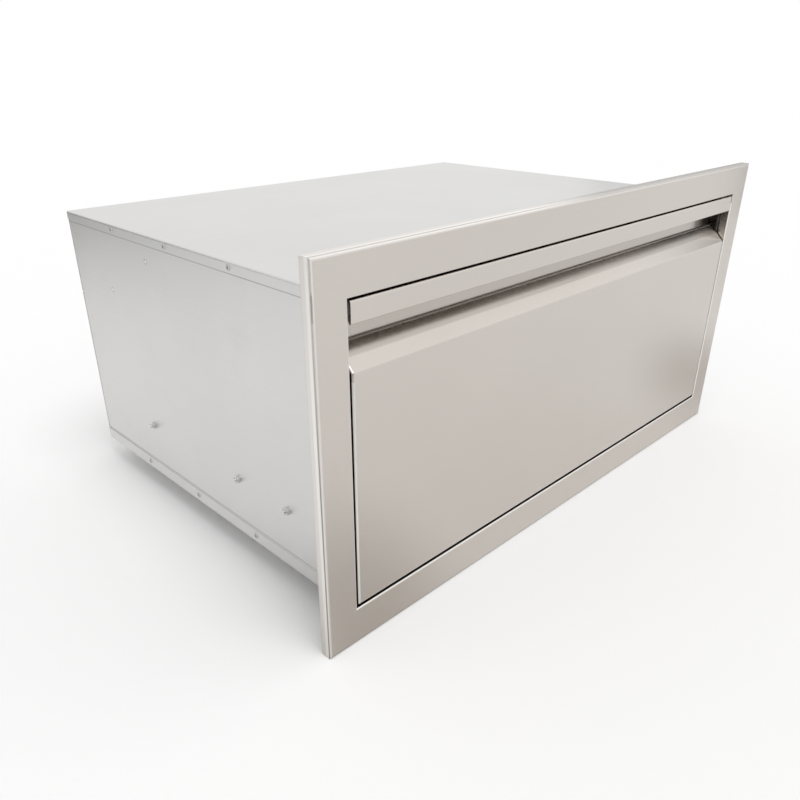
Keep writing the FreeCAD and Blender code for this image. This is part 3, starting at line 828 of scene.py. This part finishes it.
@dataclass
class SubAssembly:
    """Pieces that are built and dressed together."""

    def build(self) -> None:
        """Builds and dresses the pieces, which each kind does its own way."""
        raise NotImplementedError

    @staticmethod
    def dress(finish: Finish, *nodes: str) -> None:
        """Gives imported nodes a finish.

        Args:
            finish: the finish.
            nodes: the nodes' names.
        """
        for name in nodes:
            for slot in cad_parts[name].material_slots:
                slot.material = made(finish)
            LOG.info("dressed %s in %s", name, finish.name)

    @staticmethod
    def put(blank: Blank, node: str, body: str, slot: Slot, *finishes: Finish) -> None:
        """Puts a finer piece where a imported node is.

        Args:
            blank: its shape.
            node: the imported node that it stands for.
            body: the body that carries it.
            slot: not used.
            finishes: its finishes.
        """
        name = node + "_fine"
        mesh = bpy.data.meshes.new(name)
        mesh.from_pydata([point * MM for point in blank.points], [], blank.faces)
        mesh.polygons.foreach_set("use_smooth", [True] * len(mesh.polygons))
        mesh.set_sharp_from_angle(angle=math.radians(CREASE_DEGREES))
        for finish in finishes:
            mesh.materials.append(made(finish))
        mesh.polygons.foreach_set("material_index", blank.finishes)
        mesh.validate()
        piece = linked(name, mesh)
        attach(piece, body)
        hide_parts(node)
        LOG.info("built %s with %d faces", name, len(mesh.polygons))


@dataclass
class TrimFrame(SubAssembly):
    """The folded border round the casing's mouth."""

    # Painted highlights on bends, returns and edges, painted dark lines along the outer bends and
    # painted shade at the rear edge.
    finish: Finish = BrushedStainless("trim_brushed", PaintedBendLight(0.9, 0.95, 0.5, 0.8))

    def build(self) -> None:
        """Dresses the frame."""
        self.dress(self.finish, "trim_frame")


@dataclass
class Casing(SubAssembly):
    """The galvanised box with its rivets and rear bumpers."""

    half: float = 343.0
    rivet_depths: Values = (37.8, 155.7, 273.6, 391.5)
    rivet_levels: Values = (304.05, 9.1)
    back_face: float = 510.2
    back_across: float = 332.9
    back_levels: Values = (51.65, 258.25)
    rivet: BlindRivet = BlindRivet()
    knocks: Profile = ((321.7, 280.2), (417.1, 230.5), (508.5, 210.0))
    bumper_across: float = 208.3
    bumper_level: float = 110.0
    bumper_face: float = 509.2
    bumper_profile: Profile = (
        (8.64, 0.0), (9.0, 0.6), (8.75, 3.0), (7.15, 16.9), (6.65, 18.2), (5.8, 18.9),
        (3.4, 18.9), (3.1, 18.5), (3.0, 13.9), (1.2, 13.7))

    def build(self) -> None:
        """Dresses the sheets and builds rivets and bumpers."""
        sides = GalvanisedSheet("galvanised_sides", Way.DEEP, marks=self.knocks)
        self.dress(sides, "casing_side_left", "casing_side_right", "casing_back_panel")
        lids = GalvanisedSheet("galvanised_lids", Way.ACROSS)
        self.dress(lids, "casing_top_cover", "casing_bottom_pan")
        self._rivets()
        self._bumpers()

    def _rivets(self) -> None:
        """Builds every rivet of the side flanges and the back."""
        blank = Blank()
        for side in (-1.0, 1.0):
            for depth in self.rivet_depths:
                for rise in self.rivet_levels:
                    self.rivet.add(blank, (side * self.half, depth, rise), (side, 0.0, 0.0))
            for rise in self.back_levels:
                place = (side * self.back_across, self.back_face, rise)
                self.rivet.add(blank, place, (0.0, 1.0, 0.0))
        self.put(blank, "casing_rivets", "casing", Slot.ZINC, RIVET_ZINC, BROKEN_STEEL)

    def _bumpers(self) -> None:
        """Builds the two turned bumpers with a hollow for their screw."""
        blank = Blank()
        for side in (-1.0, 1.0):
            place = (side * self.bumper_across, self.bumper_face, self.bumper_level)
            blank.turned(place, (0.0, -1.0, 0.0), levels(self.bumper_profile), 40)
        self.put(blank, "rear_bumpers", "casing", Slot.RUBBER, BUMPER_RUBBER)


@dataclass
class DrawerFront(SubAssembly):
    """Front panel, handle channel, liner and the screws that hold them to the tub."""

    # Painted highlights on the panel's bends, left out in the band at the crest.
    panel: Finish = BrushedStainless("front_brushed", PaintedBendLight(0.85, no_highlight_levels=(242.0, 260.0)))
    # The channel's back wall gets painted shade deeper than 5 mm, and the ends of its pocket get
    # darker painted shade.
    channel: Finish = BrushedStainless("channel_brushed", PaintedBendLight(), painted_shade_depths=(-9.0, -5.0),
                                       pocket_level=281.0)
    screw_columns: Values = (-268.3, 0.0, 268.3)
    screw_levels: Values = (64.0, 194.0)
    screw_seat: float = 14.3
    screw: PanScrew = PanScrew(2.0)

    def build(self) -> None:
        """Dresses the sheets and builds the screws."""
        self.dress(self.panel, "drawer_front_panel")
        self.dress(self.channel, "handle_channel")
        self.dress(MillStainless("liner_stainless", Way.UP), "drawer_front_liner")
        blank = Blank()
        for column in self.screw_columns:
            for rise in self.screw_levels:
                place = (column, self.screw_seat, rise)
                blank.turned(place, (0.0, 1.0, 0.0), self.screw.rings(), 40)
        self.put(blank, "front_screws", "drawer", Slot.ZINC, SCREW_ZINC)


@dataclass
class Tub(SubAssembly):
    """The drawer's tub."""

    def build(self) -> None:
        """Dresses the tub's sheets."""
        sides = MillStainless("tub_sides", Way.DEEP)
        self.dress(sides, "tub_side_wall_left", "tub_side_wall_right", "tub_floor")
        self.dress(MillStainless("tub_ends", Way.ACROSS), "tub_front_wall", "tub_back_wall")


@dataclass
class BallSlide(SubAssembly):
    """One telescopic slide with its balls, screws and release lever."""

    side: float
    wall: float = 341.0
    casing_sheet: float = 1.0
    slide_sheet: float = 1.2
    centre: float = 70.2
    front: float = 15.1
    casing_screws: Values = (78.6, 165.9, 348.8)
    screw_length: float = 8.8
    screw_thread: Thread = Thread(2.5, 0.8, 0.42)
    screw_tip: float = 1.9
    screw_top: float = -1.3
    screw_recess: CrossRecess = CrossRecess(-0.8, 0.5, 2.3)
    recess_radii: Values = (0.352, 0.704, 1.1, 1.496, 1.892, 2.288, 2.728)
    screw_head: Profile = ((3.9, -1.25), (4.4, -0.95), (4.6, -0.2), (4.5, 0.0))
    tub_screws: Values = (37.0, 165.0, 400.0)
    tub_screw: PanScrew = PanScrew(2.2)
    tub_face: float = 328.3
    nut_width: float = 8.0
    nut_height: float = 4.0
    nut_bore: Profile = ((2.75, 4.0), (2.45, 3.7))
    ball_radius: float = 2.0
    ball_rings: int = 14
    ball_depths: Values = (157.7, 243.7, 329.7)
    outer_balls: Pair = (335.8, 19.0)
    inner_balls: Pair = (331.9, 14.71)
    pin_profile: Profile = (
        (2.0, 0.0), (2.0, 5.0), (3.0, 5.0), (3.2, 5.2), (3.05, 5.55), (2.5, 5.76), (1.5, 5.8),
        (1.2, 5.62), (0.5, 5.56))
    lever_pivot: float = 375.1
    lever_hub: float = 4.0
    lever_arm: Profile = (
        (-5.0, -3.5), (-11.0, -2.7), (-18.2, -2.2), (-26.0, -2.2), (-36.0, -2.45), (-44.0, -2.8),
        (-48.0, -3.0), (-50.6, -3.0), (-51.7, -2.5), (-52.0, -1.6), (-52.0, 0.3), (-51.5, 1.5),
        (-50.2, 2.3), (-48.0, 2.9), (-44.0, 2.85), (-36.0, 2.55), (-26.0, 2.25), (-18.2, 2.2),
        (-11.0, 2.7), (-5.0, 3.5))
    lever_faces: Pair = (1.5, 4.3)
    rib_faces: Pair = (4.1, 4.7)
    rib_first: float = -50.0
    rib_spacing: float = 1.5
    rib_width: float = 0.7
    rib_levels: Pair = (-2.4, 2.2)
    rib_count: int = 6

    @property
    def word(self) -> str:
        """Returns the side's name."""
        return "left" if self.side < 0 else "right"

    @property
    def outward(self) -> Place:
        """Returns the direction away from the drawer."""
        return (self.side, 0.0, 0.0)

    def build(self) -> None:
        """Dresses the members and builds the small pieces."""
        self.dress(SlideSteel("slide_steel_worn"), "slide_outer_" + self.word,
                   "slide_middle_" + self.word, "slide_inner_" + self.word)
        self.dress(CAGE_ZINC, "outer_ball_cage_" + self.word, "inner_ball_cage_" + self.word)
        self._nuts()
        self._casing_screws()
        self._tub_screws()
        self._lever_pin()
        self._lever()
        self._balls("outer", self.outer_balls)
        self._balls("inner", self.inner_balls)

    def _at(self, across: float, depth: float, rise: float = 0.0) -> Place:
        """Returns a place on this side, from mid width, the mouth and the slide's centre."""
        return (self.side * across, depth, self.centre + rise)

    def _nuts(self) -> None:
        """Builds the chamfered hex nuts on the casing's outside."""
        blank = Blank()
        width, height = self.nut_width, self.nut_height
        flat, corner = width / 2, width / math.sqrt(3)
        rings = [partial(hexagon, width, rise, limit)
                 for rise, limit in ((0.0, flat + 0.1), (0.45, corner), (height - 0.55, corner),
                                     (height - 0.2, flat + 0.25), (height, flat - 0.15))]
        for depth in self.casing_screws:
            place = self._at(self.wall + self.casing_sheet, self.front + depth)
            blank.turned(place, self.outward, rings + levels(self.nut_bore), 48)
        self.put(blank, "slide_nuts_" + self.word, "casing", Slot.ZINC, SCREW_ZINC)

    def _casing_screws(self) -> None:
        """Builds the machine screws from the outer member through the casing."""
        blank = Blank()
        rings = [self.screw_recess.ring(radius, self.screw_top) for radius in self.recess_radii]
        rings += levels(self.screw_head) + self.screw_thread.rings(self.screw_length)
        rings.append(level(self.screw_tip, self.screw_length))
        for depth in self.casing_screws:
            place = self._at(self.wall - self.slide_sheet, self.front + depth)
            blank.turned(place, self.outward, rings)
        self.put(blank, "slide_screws_" + self.word, "casing", Slot.ZINC, SCREW_ZINC)

    def _tub_screws(self) -> None:
        """Builds the pan head screws from the inner member into the tub."""
        blank = Blank()
        for depth in self.tub_screws:
            place = self._at(self.tub_face + self.slide_sheet, self.front + depth)
            blank.turned(place, self.outward, self.tub_screw.rings(), 40)
        self.put(blank, "tub_screws_" + self.word, "drawer", Slot.ZINC, SCREW_ZINC)

    def _lever_pin(self) -> None:
        """Builds the riveted pin with its pressed head."""
        blank = Blank()
        place = self._at(self.tub_face, self.lever_pivot)
        blank.turned(place, self.outward, levels(self.pin_profile))
        self.put(blank, "lever_pin_" + self.word, "drawer", Slot.ZINC, SCREW_ZINC)

    def _lever(self) -> None:
        """Builds the moulded release lever: hub, waisted arm, thumb pad and grip ribs."""
        blank = Blank()
        turns = [math.pi * step / 12 for step in range(13)]
        hub = [(self.lever_hub * math.sin(turn), self.lever_hub * math.cos(turn))
               for turn in turns]
        self._plate(blank, [*hub, *self.lever_arm], self.lever_faces, 0.4)
        below, above = self.rib_levels
        for step in range(self.rib_count):
            start = self.rib_first + step * self.rib_spacing
            end = start + self.rib_width
            rib = [(start, above), (end, above), (end, below), (start, below)]
            self._plate(blank, rib, self.rib_faces, 0.15)
        self.put(blank, "release_lever_" + self.word, "lever_" + self.word, Slot.PLASTIC,
                 LEVER_PLASTIC)

    def _plate(self, blank: Blank, outline: list[Pair], faces: Pair, bevel: float) -> None:
        """Adds a bevelled plate on this side of the unit.

        Args:
            blank: the shape it is added to.
            outline: its corners from the lever's pivot, clockwise seen from the right.
            faces: how far its two faces are from the tub.
            bevel: the bevel's width.
        """
        corners = [(self.lever_pivot + along, self.centre - self.side * rise)
                   for along, rise in outline]
        if self.side < 0:
            corners.reverse()
        low, high = sorted(self.side * (self.tub_face + face) for face in faces)
        blank.prism(corners, (low, high), bevel)

    def _balls(self, row: str, places: Pair) -> None:
        """Builds a cage's two rows of balls.

        Args:
            row: the cage's name.
            places: distance from mid width, and height above and below the slide's centre.
        """
        blank = Blank()
        across, rise = places
        tilts = [math.pi * (step + 0.5) / self.ball_rings for step in range(self.ball_rings)]
        rings = levels((self.ball_radius * math.sin(tilt), -self.ball_radius * math.cos(tilt))
                       for tilt in tilts)
        for depth in self.ball_depths:
            for turn in (-1.0, 1.0):
                blank.turned(self._at(across, depth, turn * rise), (1.0, 0.0, 0.0), rings, 24)
        self.put(blank, f"{row}_balls_{self.word}", f"{row}_cage_{self.word}", Slot.BALLS,
                 BallSteel("ball_polish"))


def stage_sheet(name: str, corners: list[Place], material: Material) -> bpy.types.Object:
    """Makes a flat sheet of the studio.

    Args:
        name: its name.
        corners: its corners in millimetres.
        material: its material.

    Returns:
        The object.
    """
    mesh = bpy.data.meshes.new(name)
    mesh.from_pydata([Vector(corner) * MM for corner in corners], [], [(0, 1, 2, 3)])
    mesh.materials.append(material)
    sheet = linked(name, mesh)
    return sheet


@dataclass(frozen=True)
class FloorSpot:
    """A long soft spot of painted shade on the floor."""

    x: float
    y: float
    reach: float
    turn: float
    narrowness: float
    core: float = 20.0

    def mask(self, recipe: Recipe) -> Signal:
        """Gives the spot, fading out from its middle.

        Args:
            recipe: the tree that gets the nodes.

        Returns:
            The mask.
        """
        x, y, _ = recipe.axes()
        cos, sin = math.cos(math.radians(self.turn)), math.sin(math.radians(self.turn))
        along = (x - self.x) * cos + (y - self.y) * sin
        aside = (y - self.y) * cos - (x - self.x) * sin
        away = (along ** 2.0 + (aside * self.narrowness) ** 2.0) ** 0.5
        return away.step(self.reach, self.core)


@dataclass(frozen=True)
class Floor:
    """The pale floor, with two dim spots of painted shade that show only in the metal's
    reflections.
    """

    half: float = 9000.0
    sunk: float = 0.05
    pale: Colour = (0.86, 0.86, 0.86)
    paler: Colour = (0.88, 0.88, 0.88)
    bright: Colour = (1.0, 1.0, 1.0)
    # Colour of the painted shade in the two spots.
    dim: Colour = (0.72, 0.7, 0.68)
    left: FloorSpot = FloorSpot(-320.0, -50.0, 300.0, -60.0, 1.8)
    right: FloorSpot = FloorSpot(550.0, -92.0, 340.0, -24.0, 2.4)

    def build(self) -> None:
        """Lays the floor."""
        recipe = Recipe.of("pale_floor")
        plain = recipe.diffuse(recipe.mix(recipe.noise(2.0), self.pale, self.paler))
        # Painted shade on the floor, seen only by glossy rays.
        spots = self.left.mask(recipe).larger(self.right.mask(recipe)) * recipe.ray(Ray.GLOSSY)
        shown = recipe.either(spots, recipe.diffuse(self.bright), recipe.diffuse(self.dim))
        seen = recipe.ray(Ray.CAMERA).larger(recipe.ray(Ray.GLOSSY))
        seen = seen.larger(recipe.ray(Ray.THROUGH))
        recipe.close(recipe.either(seen, plain, shown))
        half, rise = self.half, FLOOR_LEVEL - self.sunk
        corners = [(-half, -half, rise), (half, -half, rise), (half, half, rise),
                   (-half, half, rise)]
        stage_sheet("studio_floor", corners, recipe.owner)


@dataclass(frozen=True)
class Card:
    """A dark or grey card that shows only in the metal's reflections."""

    name: str
    start: Pair
    end: Pair
    height: float
    shade: float = 0.01
    foot: float = FLOOR_LEVEL

    def build(self) -> None:
        """Stands the card up."""
        recipe = Recipe.of(self.name + "_felt")
        shade, pale = self.shade, self.shade * 1.3
        colour = recipe.mix(recipe.noise(90.0), (shade, shade, shade), (pale, pale, shade * 1.25))
        recipe.close(recipe.diffuse(colour))
        corners = [(*self.start, self.foot), (*self.end, self.foot), (*self.end, self.height),
                   (*self.start, self.height)]
        card = stage_sheet(self.name, corners, recipe.owner)
        card.visible_camera = card.visible_diffuse = False
        card.visible_transmission = card.visible_shadow = False


@dataclass(frozen=True)
class Sun:
    """A large distant lamp, which lights the floor evenly."""

    name: str
    toward: Place
    spread: float
    strength: float

    def build(self) -> None:
        """Hangs the lamp."""
        data = bpy.data.lights.new(self.name, "SUN")
        data.angle = math.radians(self.spread)
        data.energy = self.strength
        lamp = linked(self.name, data)
        lamp.location = Vector(self.toward)
        lamp.rotation_euler = Vector(self.toward).to_track_quat("Z", "Y").to_euler()


@dataclass
class Studio:
    """Pale floor, white surround, soft lamps, cards for the reflections and the camera."""

    suns: tuple[Sun, ...] = (Sun("key", (0.0, -0.42, 0.91), 30.0, 0.75),
                             Sun("fill", (0.8, -0.25, 0.5), 60.0, 0.13))
    cards: tuple[Card, ...] = (
        Card("camera_side_card", (-1000.0, -240.0), (-620.0, -700.0), 330.0),
        Card("front_card", (-620.0, -700.0), (-150.0, -1350.0), 330.0),
        Card("rear_card", (-1900.0, 1750.0), (-500.0, 2150.0), 800.0, 0.1),
        Card("right_card", (1000.0, -190.0), (1000.0, 600.0), 560.0, 0.5),
        Card("upper_card", (1000.0, -250.0), (1000.0, -190.0), 560.0, 0.7, 165.0))
    soft_light: float = 0.76
    camera_place: Place = (-694.82, -418.62, 470.53)
    camera_turn: Place = (63.3775, 0.0413, -44.5929)
    sensor: float = 36.0
    lens: float = 32.706
    shift: Pair = (0.00509, 0.03384)
    clip_start: float = 0.01

    def build(self) -> None:
        """Sets up floor, world, lamps, cards and camera."""
        Floor().build()
        self._world()
        for item in (*self.suns, *self.cards):
            item.build()
        self._camera()
        bpy.context.scene.view_settings.view_transform = "Standard"

    def _world(self) -> None:
        """Surrounds the scene with white, dimmer for soft light."""
        world = bpy.data.worlds.new("studio_world")
        bpy.context.scene.world = world
        recipe = Recipe(world)
        strength = 1.0 - recipe.ray(Ray.DIFFUSE) * (1.0 - self.soft_light)
        white = recipe.add("ShaderNodeBackground", {},
                           {"Color": (1.0, 1.0, 1.0), "Strength": strength})
        recipe.close(white, "ShaderNodeOutputWorld")

    def _camera(self) -> None:
        """Puts the camera where the photograph was taken."""
        data = bpy.data.cameras.new("camera")
        data.sensor_fit = "HORIZONTAL"
        data.sensor_width = self.sensor
        data.lens = self.lens
        data.shift_x, data.shift_y = self.shift
        data.clip_start = self.clip_start
        camera = linked("camera", data)
        camera.location = Vector(self.camera_place) * MM
        camera.rotation_euler = [math.radians(turn) for turn in self.camera_turn]
        bpy.context.scene.camera = camera


def main() -> None:
    """Builds the unit and the studio."""
    logging.basicConfig(level=logging.INFO, format="%(message)s")
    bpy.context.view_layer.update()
    Studio().build()
    for part in (TrimFrame(), Casing(), DrawerFront(), Tub(), BallSlide(-1.0), BallSlide(1.0)):
        part.build()


if __name__ == "__main__":
    main()
